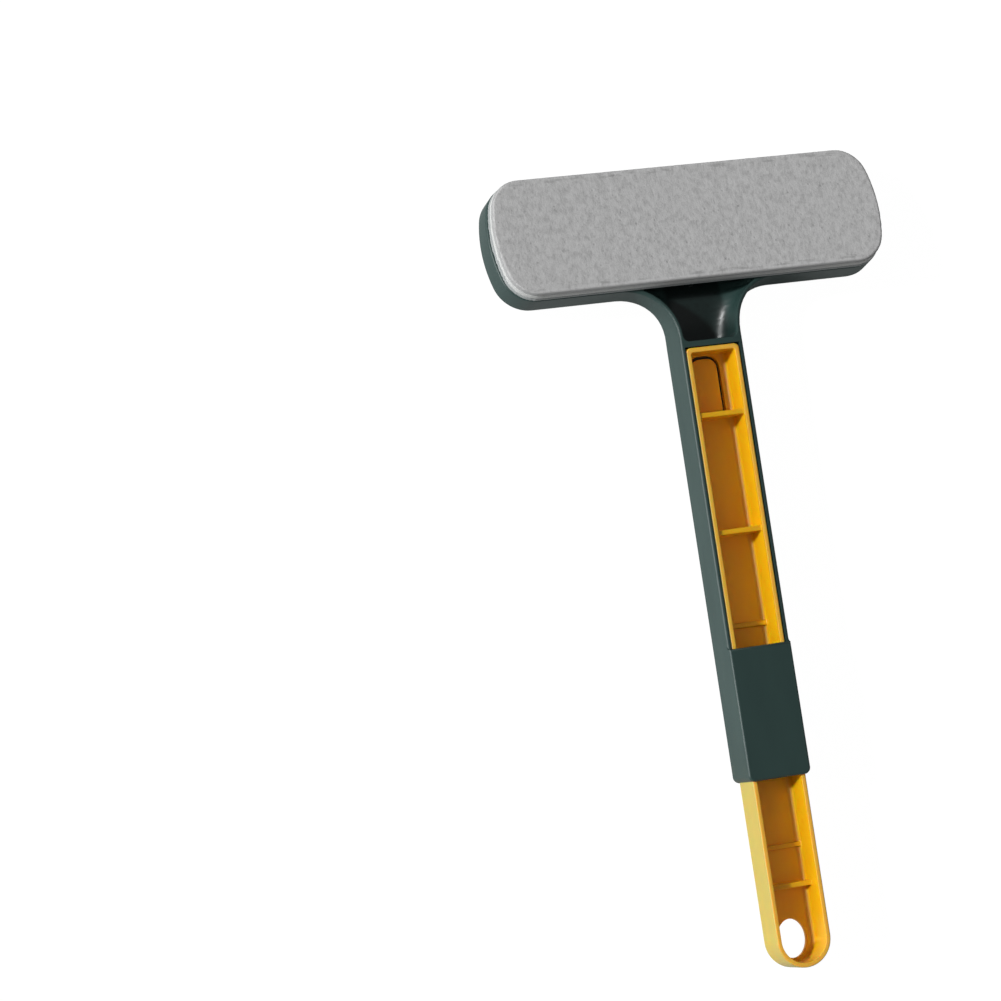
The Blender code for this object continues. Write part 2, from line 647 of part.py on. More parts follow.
def tongue_outline(half, tip, root, corner):
    """Outline of the tongue, or of its opening, square at its root and round at its free end."""
    points = [(-half, root), (half, root)]
    points += arc((half - corner, tip - corner), corner, 0, 90, ARC_STEPS // 2)
    points += arc((-half + corner, tip - corner), corner, 90, 180, ARC_STEPS // 2)
    return points


def make_lock_tongue(parts, cutters, material, axis_point, bar):
    """The springy tongue in the bar's floor, with the lock button on its back."""
    points = tongue_outline(TONGUE_WIDTH / 2, along(TONGUE_TIP), along(TONGUE_ROOT), TONGUE_CORNER)
    tongue = slab("lock_tongue", points, BAR_BACK, BAR_FLOOR_TOP, parts)
    half_width, half_length = BUTTON_WIDTH / 2, BUTTON_LENGTH / 2
    button_points = rounded_box(-half_width, half_width, along(BUTTON_AT + half_length),
                                along(BUTTON_AT - half_length), half_width - BUTTON_SIDE_GAP)
    button = slab("lock_button_join", button_points, HANDLE_BACK + BUTTON_SINK, BAR_BACK + BAR_FLOOR / 2,
                  cutters)
    round_edges(button, -1, BUTTON_EDGE_ROUND)
    cut(tongue, button, "UNION")
    settle(tongue)
    finish(tongue, material)
    move_origin(tongue, axis_point)
    hang_on(tongue, bar)
    return tongue


def main():
    """Build the brush."""
    clear_scene()
    parts = new_collection("window_screen_cleaning_brush")
    cutters = new_collection("cutters")
    green = new_material("green_plastic", (0.026, 0.043, 0.039), 0.42)
    yellow = new_material("yellow_plastic", (0.80, 0.43, 0.03), 0.38)
    pad_materials = {
        "pad_loop_backing": new_material("loop_backing", (0.55, 0.57, 0.57), 0.95),
        "pad_foam": new_material("white_foam", (0.78, 0.80, 0.80), 0.95),
        "pad_cover": new_material("grey_pile", (0.36, 0.36, 0.36), 0.98),
    }
    hooks = new_material("hook_tape", (0.05, 0.05, 0.05), 0.85)
    pad_lift = new_carrier("pad_lift", (0, *bent(along(0), PAD_BACK)), parts)
    pad_lift.rotation_euler.x = -HEAD_TILT
    bar_slide = new_carrier("bar_slide", (0, along(BAR_START), BAR_BACK + BAR_DEPTH / 2), parts)
    make_handle_body(parts, cutters, green)
    make_cover_plate(parts, green)
    make_hook_tape("hook_tape_left", -1, parts, hooks)
    make_hook_tape("hook_tape_right", 1, parts, hooks)
    make_pad(parts, pad_materials, pad_lift)
    bar = make_extension_bar(parts, cutters, yellow, bar_slide)
    tongue_axis = (0, along(TONGUE_ROOT - TONGUE_AXIS_INSET), BAR_BACK + BAR_FLOOR / 2)
    make_lock_tongue(parts, cutters, yellow, tongue_axis, bar)


main()
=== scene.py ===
"""Looks of a window screen cleaning brush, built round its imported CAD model.

Each sub-assembly is a class that holds its sizes and makes and dresses its pieces: the green
moulding, the plate and the hook tapes in its head, the pad, the yellow bar and its lock tongue.
All places are in metres, in the frame of the CAD model.
"""
import json
import logging
import math
from dataclasses import dataclass, replace
from enum import Enum

import bmesh
import bpy
from mathutils import Matrix, Vector, noise
from mathutils.bvhtree import BVHTree


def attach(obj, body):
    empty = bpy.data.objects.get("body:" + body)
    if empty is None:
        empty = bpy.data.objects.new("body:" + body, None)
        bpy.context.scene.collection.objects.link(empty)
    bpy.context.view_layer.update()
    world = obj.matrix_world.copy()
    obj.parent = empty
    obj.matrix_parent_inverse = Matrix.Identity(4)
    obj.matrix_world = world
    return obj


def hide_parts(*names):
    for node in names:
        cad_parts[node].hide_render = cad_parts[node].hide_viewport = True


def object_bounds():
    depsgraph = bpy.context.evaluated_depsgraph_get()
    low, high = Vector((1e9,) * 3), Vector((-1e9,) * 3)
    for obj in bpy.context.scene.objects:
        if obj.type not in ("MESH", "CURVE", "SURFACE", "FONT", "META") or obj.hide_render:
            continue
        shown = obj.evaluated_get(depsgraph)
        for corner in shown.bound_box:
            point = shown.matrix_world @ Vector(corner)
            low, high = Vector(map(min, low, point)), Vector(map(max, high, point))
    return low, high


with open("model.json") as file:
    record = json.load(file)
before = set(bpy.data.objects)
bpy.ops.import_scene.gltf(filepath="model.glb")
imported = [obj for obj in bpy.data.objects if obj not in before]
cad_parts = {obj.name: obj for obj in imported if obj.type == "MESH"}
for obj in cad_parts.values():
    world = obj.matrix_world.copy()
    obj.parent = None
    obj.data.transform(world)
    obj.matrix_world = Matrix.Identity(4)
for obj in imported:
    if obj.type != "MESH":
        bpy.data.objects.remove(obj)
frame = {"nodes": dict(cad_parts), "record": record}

log = logging.getLogger("brush")
Colour = tuple[float, float, float]
MM = 0.001
WELD = 0.000001
FLAT_DEGREES = 0.4
PAD_HALF_WIDTH = 18.9 * MM
CHAIN = "chain"
LOADED_BOX = [list(corner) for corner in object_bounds()]


class Body(Enum):
    """CAD bodies that pieces ride on."""

    HANDLE = "handle"
    PAD = "pad"
    EXTENSION = "extension"
    TONGUE = "tongue"


class Slot(Enum):
    """Material slots of the record."""

    GREEN = "green_plastic"
    YELLOW = "yellow_plastic"
    HOOKS = "hook_tape"
    LOOPS = "loop_backing"
    FOAM = "white_foam"
    PILE = "grey_pile"


class Wire:
    """A shader socket that can be used in sums, products and powers."""

    def __init__(self, graph: "Graph", socket: bpy.types.NodeSocket) -> None:
        """Wrap a socket of the graph."""
        self.graph = graph
        self.socket = socket

    def _math(self, operation: str, *values: "Wire | float") -> "Wire":
        """Add a Math node on these values."""
        return self.graph.add("ShaderNodeMath", {"operation": operation}, dict(enumerate(values)))

    def __add__(self, other: "Wire | float") -> "Wire":
        """Sum."""
        return self._math("ADD", self, other)

    def __radd__(self, other: "Wire | float") -> "Wire":
        """Sum, from the right."""
        return self._math("ADD", other, self)

    def __sub__(self, other: "Wire | float") -> "Wire":
        """Difference."""
        return self._math("SUBTRACT", self, other)

    def __rsub__(self, other: "Wire | float") -> "Wire":
        """Difference, from the right."""
        return self._math("SUBTRACT", other, self)

    def __mul__(self, other: "Wire | float") -> "Wire":
        """Product."""
        return self._math("MULTIPLY", self, other)

    def __rmul__(self, other: "Wire | float") -> "Wire":
        """Product, from the right."""
        return self._math("MULTIPLY", other, self)

    def __pow__(self, other: "Wire | float") -> "Wire":
        """Power."""
        return self._math("POWER", self, other)

    def size(self) -> "Wire":
        """Absolute value."""
        return self._math("ABSOLUTE", self)

    def sine(self) -> "Wire":
        """Sine of an angle in radians."""
        return self._math("SINE", self)

    def ramp(self, low: float, high: float, start: float = 0.0, end: float = 1.0) -> "Wire":
        """Smooth step from one value to another.

        Args:
            low: Value of this socket where the step begins.
            high: Value of this socket where the step ends.
            start: Result before the step.
            end: Result after the step.

        Returns:
            The stepped value.
        """
        values = {"Value": self, "From Min": low, "From Max": high, "To Min": start, "To Max": end}
        return self.graph.add("ShaderNodeMapRange", {"interpolation_type": "SMOOTHSTEP"}, values)


class Graph:
    """Node tree of one material, with a Principled BSDF at its end."""

    MIX_FACTOR, MIX_FIRST, MIX_SECOND, MIX_RESULT = 0, 6, 7, 2

    def __init__(self, name: str) -> None:
        """Make an empty material with its shader and output."""
        self.material = bpy.data.materials.new(name)
        self.material.use_nodes = True
        self.tree = self.material.node_tree
        self.shader = self.tree.nodes["Principled BSDF"]

    def add(self, kind: str, settings: dict[str, object] | None = None,
            values: dict[int | str, object] | None = None, output: int | str = 0) -> Wire:
        """Add a node.

        Args:
            kind: Type name of the node.
            settings: Its settings, set before its sockets.
            values: Values or wires of its sockets, by name or number.
            output: Output socket that is wanted.

        Returns:
            The output socket as a wire.
        """
        node = self.tree.nodes.new(kind)
        for key, value in (settings or {}).items():
            setattr(node, key, value)
        for key, value in (values or {}).items():
            self.feed(node.inputs[key], value)
        return Wire(self, node.outputs[output])

    def feed(self, socket: bpy.types.NodeSocket, value: object) -> None:
        """Link a wire to a socket, or set the socket's value.

        Args:
            socket: Socket that takes it.
            value: A wire, or a value of the socket's kind.
        """
        if isinstance(value, Wire):
            self.tree.links.new(value.socket, socket)
        else:
            socket.default_value = value

    def set(self, **values: object) -> None:
        """Feed the shader's sockets, each named with underscores for spaces."""
        for key, value in values.items():
            self.feed(self.shader.inputs[key.replace("_", " ")], value)

    def place(self, matrix: Matrix | None = None,
              scale: tuple[float, float, float] = (1, 1, 1)) -> Wire:
        """Object coordinates, seen from a frame of their own.

        Args:
            matrix: The frame's place, or None for the piece's own.
            scale: Scale of the coordinates after that.

        Returns:
            The coordinates.
        """
        point = self.add("ShaderNodeTexCoord", output="Object")
        if matrix is not None:
            into = matrix.inverted()
            point = self.add("ShaderNodeMapping", values={
                "Vector": point, "Location": into.to_translation(), "Rotation": into.to_euler()})
        if tuple(scale) != (1, 1, 1):
            point = self.add("ShaderNodeMapping", values={"Vector": point, "Scale": scale})
        return point

    def noise(self, point: Wire, size: float, detail: float = 2.0, rough: float = 0.5) -> Wire:
        """Noise from 0 to 1 whose features are about this size in metres."""
        return self.add("ShaderNodeTexNoise", values={
            "Vector": point, "Scale": 1 / size, "Detail": detail, "Roughness": rough}, output="Fac")

    def cells(self, point: Wire, size: float) -> Wire:
        """Distance to the nearest of scattered points about this far apart in metres."""
        return self.add("ShaderNodeTexVoronoi", values={
            "Vector": point, "Scale": 1 / size}, output="Distance")

    def blend(self, factor: Wire | float, first: object, second: object) -> Wire:
        """Mix two colours.

        Args:
            factor: Share of the second colour, from 0 to 1.
            first: A wire or a colour.
            second: A wire or a colour.

        Returns:
            The mixed colour.
        """
        ends = [end if isinstance(end, Wire) else (*end, 1) for end in (first, second)]
        return self.add("ShaderNodeMix", {"data_type": "RGBA"}, {
            self.MIX_FACTOR: factor, self.MIX_FIRST: ends[0], self.MIX_SECOND: ends[1]},
            self.MIX_RESULT)

    def split(self, point: Wire, axis: str) -> Wire:
        """One coordinate of a point."""
        return self.add("ShaderNodeSeparateXYZ", values={0: point}, output=axis)

    def bump(self, height: Wire, distance: float, strength: float = 1.0,
             under: Wire | None = None) -> Wire:
        """Normal that stands for a fine relief.

        Args:
            height: Height of the relief, from 0 to 1.
            distance: Its full height in metres.
            strength: How much of it shows.
            under: Normal of a coarser relief under it.

        Returns:
            The normal.
        """
        values: dict[int | str, object] = {
            "Height": height, "Distance": distance, "Strength": strength}
        if under is not None:
            values["Normal"] = under
        return self.add("ShaderNodeBump", values=values)


@dataclass(frozen=True)
class PaintedRimHighlight:
    """Painted highlight on the upper rim of a moulding, which begins at a height: the rim is
    painted lighter.
    """

    start: float
    colour: Colour
    fade: float = 0.25 * MM

    def mask(self, graph: Graph, point: Wire) -> Wire:
        """Share of the painted highlight colour at a point."""
        return graph.split(point, "Z").ramp(self.start, self.start + self.fade)


@dataclass(frozen=True)
class PaintedFlankSheen:
    """Painted sheen on the outer side of a bar with one round end: the side is painted paler, for
    the reflection of the pale surroundings.
    """

    half_width: float
    round_middle: float
    # Colour of the painted sheen.
    colour: Colour = (0.51, 0.41, 0.078)
    fade_from: float = 0.35 * MM
    fade_to: float = 0.15 * MM

    def mask(self, graph: Graph, point: Wire) -> Wire:
        """Share of the painted sheen colour at a point.

        Args:
            graph: Node tree that takes the nodes.
            point: Coordinates on the bar.

        Returns:
            The share, from 0 to 1.
        """
        side, along = graph.split(point, "X"), graph.split(point, "Y") - self.round_middle
        beyond = (along - along.size()) * 0.5
        reach = (side * side + beyond * beyond) ** 0.5
        return reach.ramp(self.half_width - self.fade_from, self.half_width - self.fade_to)


@dataclass(frozen=True)
class PaintedRecessShade:
    """Painted shade in a recess, as the box that holds it: the recess is painted darker where the
    shadows of the pad and of its walls fall.
    """

    half_width: float
    near: float
    far: float
    bottom: float
    top: float
    # Colour and strength of the painted shade.
    colour: Colour = (0.002, 0.003, 0.003)
    painted_recess_shade: float = 0.72
    polish: float = 0.12
    side_fade: float = 2 * MM
    near_fade: float = 0.2 * MM
    far_fade: float = 8 * MM
    bottom_fade: float = 0.6 * MM
    top_fade: float = 1 * MM

    def mask(self, graph: Graph, point: Wire) -> Wire:
        """Tell the inside of the recess from the rest.

        Args:
            graph: Node tree that takes the nodes.
            point: Coordinates on the moulding.

        Returns:
            A value that is 1 inside and fades to 0 at the edges of the box.
        """
        side, along, up = (graph.split(point, axis) for axis in "XYZ")
        return side.size().ramp(self.half_width - self.side_fade, self.half_width, 1, 0) \
            * along.ramp(self.near, self.near + self.near_fade) \
            * along.ramp(self.far - self.far_fade, self.far, 1, 0) \
            * up.ramp(self.bottom, self.bottom + self.bottom_fade) \
            * up.ramp(self.top - self.top_fade, self.top, 1, 0)


@dataclass(frozen=True)
class MouldedPlastic:
    """Satin injection-moulded plastic with a fine skin and faint flow marks, and with painted
    light: a painted highlight on an upper rim, painted sheen on an outer side and painted shade in
    a recess.
    """

    name: str
    colour: Colour
    shade: Colour
    roughness: float
    specular: float = 0.5
    glow: float = 0.0
    glow_colour: Colour = (1.0, 0.3, 0.05)
    glow_depth: float = 1.2 * MM
    rim: PaintedRimHighlight | None = None
    flank_sheen: PaintedFlankSheen | None = None
    hollow: PaintedRecessShade | None = None
    skin: float = 0.35 * MM
    skin_depth: float = 0.004 * MM
    speck: float = 1.6 * MM
    flow_mark: float = 9 * MM
    ripple: float = 0.010 * MM

    def make(self) -> bpy.types.Material:
        """Build the material.

        Returns:
            The material.
        """
        graph = Graph(self.name)
        point = graph.place()
        flow = graph.noise(graph.place(scale=(1, 0.25, 1)), self.flow_mark, 3)
        skin = graph.noise(point, self.skin, 3, 0.6)
        specks = graph.noise(point, self.speck, 4, 0.6)
        colour = graph.blend(flow.ramp(0.35, 0.68) * 0.7 + specks.ramp(0.55, 0.75) * 0.3,
                             self.colour, self.shade)
        rough = self.roughness + (flow - 0.5) * 0.10 + (skin - 0.5) * 0.10
        if self.rim is not None:
            # Painted highlight: the upper rim is painted lighter.
            rubbed_streaks_and_painted_light = self.rim.mask(graph, point) * specks.ramp(0.30, 0.60, 1.0, 0.8)
            colour = graph.blend(rubbed_streaks_and_painted_light, colour, self.rim.colour)
        if self.flank_sheen is not None:
            # Painted sheen: the outer side is painted paler.
            rubbed_streaks_and_painted_light = self.flank_sheen.mask(graph, point) * flow.ramp(0.25, 0.60, 0.75, 1.0)
            colour = graph.blend(rubbed_streaks_and_painted_light, colour, self.flank_sheen.colour)
        if self.hollow is not None:
            # Painted shade: the recess is painted darker, and its roughness is lowered.
            inside, painted_recess_shade = self.hollow.mask(graph, point), self.hollow.painted_recess_shade
            colour = graph.blend(inside * specks.ramp(0.30, 0.60, painted_recess_shade, painted_recess_shade - 0.1),
                                 colour, self.hollow.colour)
            rough = rough - inside * self.hollow.polish
        graph.set(
            Base_Color=colour,
            Roughness=rough,
            Metallic=0.0,
            Specular_IOR_Level=self.specular,
            Subsurface_Weight=self.glow,
            Subsurface_Radius=self.glow_colour,
            Subsurface_Scale=self.glow_depth,
            Normal=graph.bump(skin, self.skin_depth, 1.0, graph.bump(flow, self.ripple)),
        )
        return graph.material


@dataclass(frozen=True)
class PileCloth:
    """Short dense pile, with rubbed streaks along its long edges and pulled dark dots, a painted
    highlight along one long edge and painted shade on its shoulder and side.
    """

    name: str
    colour: Colour
    dark: Colour
    # Colour of the painted shade on the shoulder and side of the cover.
    painted_shoulder_shade: Colour
    half_width: float
    clump: float = 1.3 * MM
    fibre: float = 0.45 * MM
    stroke: float = 0.60 * MM
    drift: float = 3.2 * MM
    dot_pitch: float = 3.0 * MM
    pile: float = 0.25 * MM
    shoulder_drop: tuple[float, float] = (-0.36 * MM, -0.08 * MM)

    def groove(self, graph: Graph, matrix: Matrix, side: Wire) -> Wire:
        """Rubbed streaks beside both long edges.

        Args:
            graph: Node tree that takes the nodes.
            matrix: Frame of the head.
            side: Place across the pad.

        Returns:
            A value that is 1 in a streak and 0 outside.
        """
        rubbed_streaks_and_painted_light = graph.noise(graph.place(matrix, (0.22, 1, 1)), 1.1 * MM, 2)
        patches = graph.noise(graph.place(matrix, (1, 0.1, 1)), 9 * MM, 1)
        out, half = side.size(), self.half_width
        return out.ramp(half - 2.0 * MM, half - 1.6 * MM) \
            * out.ramp(half - 1.1 * MM, half - 0.6 * MM, 1, 0) \
            * rubbed_streaks_and_painted_light.ramp(0.42, 0.60) * patches.ramp(0.38, 0.58)

    def make(self, matrix: Matrix) -> bpy.types.Material:
        """Build the material.

        Args:
            matrix: Frame of the head.

        Returns:
            The material.
        """
        graph = Graph(self.name)
        point = graph.place(matrix)
        clumps = graph.noise(graph.place(matrix, (1, 0.6, 1)), self.clump, 3, 0.6)
        fibres = graph.noise(point, self.fibre, 3, 0.7)
        strokes = graph.noise(graph.place(matrix, (1, 0.45, 1)), self.stroke, 2, 0.5)
        dots = graph.cells(point, self.dot_pitch).ramp(0.08, 0.15, 1, 0)
        drift = graph.noise(point, self.drift, 2, 0.5)
        side = graph.split(point, "Y")
        # Painted highlight: a lighter line along the long edge at negative Y.
        painted_edge_highlight = side.ramp(-self.half_width + 1.0 * MM, -self.half_width + 0.4 * MM)
        tone = clumps.ramp(0.30, 0.72, 0, 0.46) + fibres.ramp(0.35, 0.70, 0, 0.24) \
            + strokes.ramp(0.48, 0.74, 0, 0.28) + drift.ramp(0.35, 0.65, 0, 0.26) \
            + dots * 0.34 + self.groove(graph, matrix, side) * 0.50 - painted_edge_highlight * 0.22
        # Painted shade: the shoulder and side of the cover are painted darker.
        painted_shoulder_shade = graph.split(point, "Z").ramp(*self.shoulder_drop, 1, 0)
        face = graph.blend(tone.ramp(0.0, 1.4), self.colour, self.dark)
        height = clumps * 0.35 + fibres * 0.4 + strokes * 0.25
        graph.set(
            Base_Color=graph.blend(painted_shoulder_shade * 0.85, face, self.painted_shoulder_shade),
            Roughness=fibres.ramp(0.2, 0.8, 0.88, 1.0),
            Metallic=0.0,
            Specular_IOR_Level=0.2,
            Sheen_Weight=0.1,
            Sheen_Roughness=0.5,
            Normal=graph.bump(height - dots * 0.3, self.pile, 0.6),
        )
        return graph.material


@dataclass(frozen=True)
class Foam:
    """Soft white foam with open cells."""

    name: str
    colour: Colour
    dark: Colour
    cell: float = 0.45 * MM
    depth: float = 0.08 * MM
    drift: float = 4 * MM

    def make(self) -> bpy.types.Material:
        """Build the material.

        Returns:
            The material.
        """
        graph = Graph(self.name)
        point = graph.place()
        cells = graph.cells(point, self.cell)
        drift = graph.noise(point, self.drift, 2)
        graph.set(
            Base_Color=graph.blend(cells.ramp(0.15, 0.6, 0.5, 0) + drift.ramp(0.4, 0.8, 0, 0.3),
                                   self.colour, self.dark),
            Roughness=cells.ramp(0.1, 0.6, 1.0, 0.85),
            Metallic=0.0,
            Specular_IOR_Level=0.2,
            Normal=graph.bump(cells, self.depth, 0.8),
        )
        return graph.material


@dataclass(frozen=True)
class LoopCloth:
    """Knitted loop fabric that hooks catch in."""

    name: str
    colour: Colour
    dark: Colour
    pitch: float = 0.8 * MM
    fuzz: float = 0.25 * MM
    depth: float = 0.15 * MM

    def make(self, matrix: Matrix) -> bpy.types.Material:
        """Build the material.

        Args:
            matrix: Frame of the head.

        Returns:
            The material.
        """
        graph = Graph(self.name)
        point = graph.place(matrix)
        turn = 2 * math.pi / self.pitch
        rows = (graph.split(point, "X") * turn).sine()
        courses = (graph.split(point, "Y") * turn).sine()
        fuzz = graph.noise(point, self.fuzz, 3, 0.7)
        knit = (rows * courses) * 0.25 + 0.5
        graph.set(
            Base_Color=graph.blend(knit * 0.5 + fuzz * 0.4, self.dark, self.colour),
            Roughness=fuzz.ramp(0.2, 0.8, 0.85, 1.0),
            Metallic=0.0,
            Specular_IOR_Level=0.2,
            Normal=graph.bump(knit * 0.6 + fuzz * 0.6, self.depth, 0.9),
        )
        return graph.material


@dataclass(frozen=True)
class HookTape:
    """Woven black nylon tape with stiff hooks."""

    name: str
    colour: Colour
    light: Colour
    weave: float = 0.4 * MM
    depth: float = 0.05 * MM
    wear: float = 6 * MM

    def make(self) -> bpy.types.Material:
        """Build the material.

        Returns:
            The material.
        """
        graph = Graph(self.name)
        point = graph.place()
        weave = graph.noise(point, self.weave, 3, 0.6)
        wear = graph.noise(point, self.wear, 2)
        graph.set(
            Base_Color=graph.blend(weave.ramp(0.4, 0.7) * 0.6 + wear.ramp(0.4, 0.7) * 0.3,
                                   self.colour, self.light),
            Roughness=weave.ramp(0.3, 0.7, 0.55, 0.75),
            Metallic=0.0,
            Normal=graph.bump(weave, self.depth, 0.7),
        )
        return graph.material


GREEN = MouldedPlastic(
    name="green_plastic_skin",
    colour=(0.0215, 0.051, 0.046),
    shade=(0.0175, 0.044, 0.040),
    roughness=0.50,
    specular=0.55,
    # Painted shade in the neck's recess.
    hollow=PaintedRecessShade(half_width=10.4 * MM, near=70.0 * MM, far=110.0 * MM,
                  bottom=6.8 * MM, top=18.0 * MM),
)
GREEN_PLATE = replace(GREEN, name="green_plate_skin", hollow=None)
YELLOW = MouldedPlastic(
    name="yellow_plastic_skin",
    colour=(0.85, 0.475, 0.002),
    shade=(0.82, 0.44, 0.002),
    roughness=0.42,
    specular=0.60,
    glow=0.50,
    # Painted highlight on the upper rims.
    rim=PaintedRimHighlight(start=18.9 * MM, colour=(1.0, 0.54, 0.065)),
    # Painted sheen on the outer sides.
    flank_sheen=PaintedFlankSheen(half_width=9.0 * MM, round_middle=-118.207 * MM),
)


def head_frame() -> Matrix:
    """Find the frame of the pad's face.

    Returns:
        Its middle, with Z out of the face and X along the pad.
    """
    face = next(m for m in frame["record"]["mounts"] if m["name"] == "pad_face")
    out = Vector(face["axis"]).normalized()
    right = Vector((1, 0, 0))
    up = out.cross(right)
    matrix = Matrix((right, up, out)).transposed().to_4x4()
    matrix.translation = Vector(face["pos_m"])
    return matrix


HEAD = head_frame()


def merged(node: str) -> bmesh.types.BMesh:
    """Copy a CAD node, with its loose triangles merged and its flat faces joined.

    Args:
        node: Name of the node.

    Returns:
        The copy.
    """
    work = bmesh.new()
    work.from_mesh(frame["nodes"][node].data)
    bmesh.ops.remove_doubles(work, verts=work.verts, dist=WELD)
    bmesh.ops.dissolve_limit(work, angle_limit=math.radians(FLAT_DEGREES),
                             verts=work.verts, edges=work.edges)
    return work


def number_chains(work: bmesh.types.BMesh, angle: float) -> int:
    """Number the chains of sharp edges that hang together, from 1, in an edge layer.

    Args:
        work: The moulding.
        angle: Edges between faces that turn more than this many degrees are sharp.

    Returns:
        How many chains there are.
    """
    layer = work.edges.layers.int.new(CHAIN)
    limit = math.radians(angle)
    sharp = {e for e in work.edges if len(e.link_faces) == 2 and e.calc_face_angle() > limit}
    count = 0
    for start in work.edges:
        if start not in sharp:
            continue
        count += 1
        sharp.remove(start)
        waiting = [start]
        while waiting:
            edge = waiting.pop()
            edge[layer] = count
            for vert in edge.verts:
                near = [e for e in vert.link_edges if e in sharp]
                sharp.difference_update(near)
                waiting.extend(near)
    return count


def keeps_shape(trial: bmesh.types.BMesh, surface: BVHTree, limit: float) -> bool:
    """Tell whether a rounded moulding stays close to its old surface.

    Args:
        trial: The rounded moulding.
        surface: Its surface before the rounding.
        limit: How far a corner, or the middle of a triangle, may be from that surface.

    Returns:
        True if each of them stays within the limit.
    """
    spots = [vert.co for vert in trial.verts]
    spots += [sum((loop.vert.co for loop in triangle), Vector()) / 3
              for triangle in trial.calc_loop_triangles()]
    return all(surface.find_nearest(spot)[3] < limit for spot in spots)


@dataclass(frozen=True)
class Rounding:
    """Fine rounding of a moulding's sharp edges, tried on each chain of edges at falling widths."""

    width: float
    angle: float = 48.0
    steps: int = 2
    shares: tuple[float, ...] = (1.0, 0.6, 0.4)
    drift: float = 0.6

    def trial(self, work: bmesh.types.BMesh, number: int, width: float) -> bmesh.types.BMesh:
        """Round one chain on a copy.

        Args:
            work: The moulding, with its chains numbered.
            number: Number of the chain.
            width: Width of the rounding in metres.

        Returns:
            The rounded copy.
        """
        copy = work.copy()
        layer = copy.edges.layers.int[CHAIN]
        chain = [edge for edge in copy.edges if edge[layer] == number]
        bmesh.ops.bevel(copy, geom=chain, offset=width, offset_type="OFFSET", segments=self.steps,
                        profile=0.5, affect="EDGES", clamp_overlap=False, material=-1)
        return copy

    def apply(self, work: bmesh.types.BMesh) -> bmesh.types.BMesh:
        """Round the chains one by one, and leave out a chain that doesn't take it.

        Args:
            work: The moulding, which is freed.

        Returns:
            The rounded moulding.
        """
        surface = BVHTree.FromBMesh(work)
        count = number_chains(work, self.angle)
        for number in range(1, count + 1):
            for share in self.shares:
                copy = self.trial(work, number, self.width * share)
                if keeps_shape(copy, surface, self.drift * self.width * share):
                    work.free()
                    work = copy
                    log.info("chain %d of %d: %.2f mm", number, count, self.width * share / MM)
                    break
                copy.free()
            else:
                log.info("chain %d of %d stays as it is", number, count)
        return work


def new_piece(name: str, work: bmesh.types.BMesh, body: Body, slot: Slot,
              material: bpy.types.Material, *nodes: str, crease: float = 32.0) -> bpy.types.Object:
    """Make an object from a bmesh and put it on its body.

    Args:
        name: Name of the piece.
        work: Its shape, which is freed.
        body: CAD body that it rides on.
        slot: Material slot of the record; not used.
        material: Its finish.
        nodes: CAD nodes that it stands for.
        crease: Edges sharper than this many degrees stay sharp in the shading.

    Returns:
        The new object.
    """
    mesh = bpy.data.meshes.new(name)
    work.to_mesh(mesh)
    work.free()
    if "custom_normal" in mesh.attributes:
        mesh.attributes.remove(mesh.attributes["custom_normal"])
    mesh.materials.clear()
    mesh.materials.append(material)
    mesh.polygons.foreach_set("material_index", [0] * len(mesh.polygons))
    mesh.shade_smooth()
    mesh.set_sharp_from_angle(angle=math.radians(crease))
    thing = bpy.data.objects.new(name, mesh)
    bpy.context.scene.collection.objects.link(thing)
    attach(thing, body.value)
    if nodes:
        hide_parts(*nodes)
    log.info("%s: %d faces on %s", name, len(mesh.polygons), body.value)
    return thing


def weigh_normals(thing: bpy.types.Object) -> None:
    """Let large flat faces lead the shading of the roundings next to them."""
    modifier = thing.modifiers.new("face_weights", "WEIGHTED_NORMAL")
    modifier.keep_sharp = True


def applied(thing: bpy.types.Object) -> None:
    """Apply the modifiers of an object to its mesh.

    Args:
        thing: The object.
    """
    bpy.context.view_layer.update()
    graph = bpy.context.evaluated_depsgraph_get()
    mesh = bpy.data.meshes.new_from_object(thing.evaluated_get(graph))
    thing.modifiers.clear()
    thing.data = mesh


@dataclass
class GreenMoulding:
    """The handle with its hollow head, and the plate that closes the head."""

    edge: Rounding = Rounding(0.26 * MM)
    finish: MouldedPlastic = GREEN
    plate_finish: MouldedPlastic = GREEN_PLATE

    def build(self) -> None:
        """Make the moulding and dress the plate."""
        work = self.edge.apply(merged("handle_body"))
        weigh_normals(new_piece("green_moulding", work, Body.HANDLE, Slot.GREEN,
                                self.finish.make(), "handle_body"))
        plate = frame["nodes"]["head_cover_plate"]
        plate.material_slots[0].material = self.plate_finish.make()
        log.info("head_cover_plate: dressed")


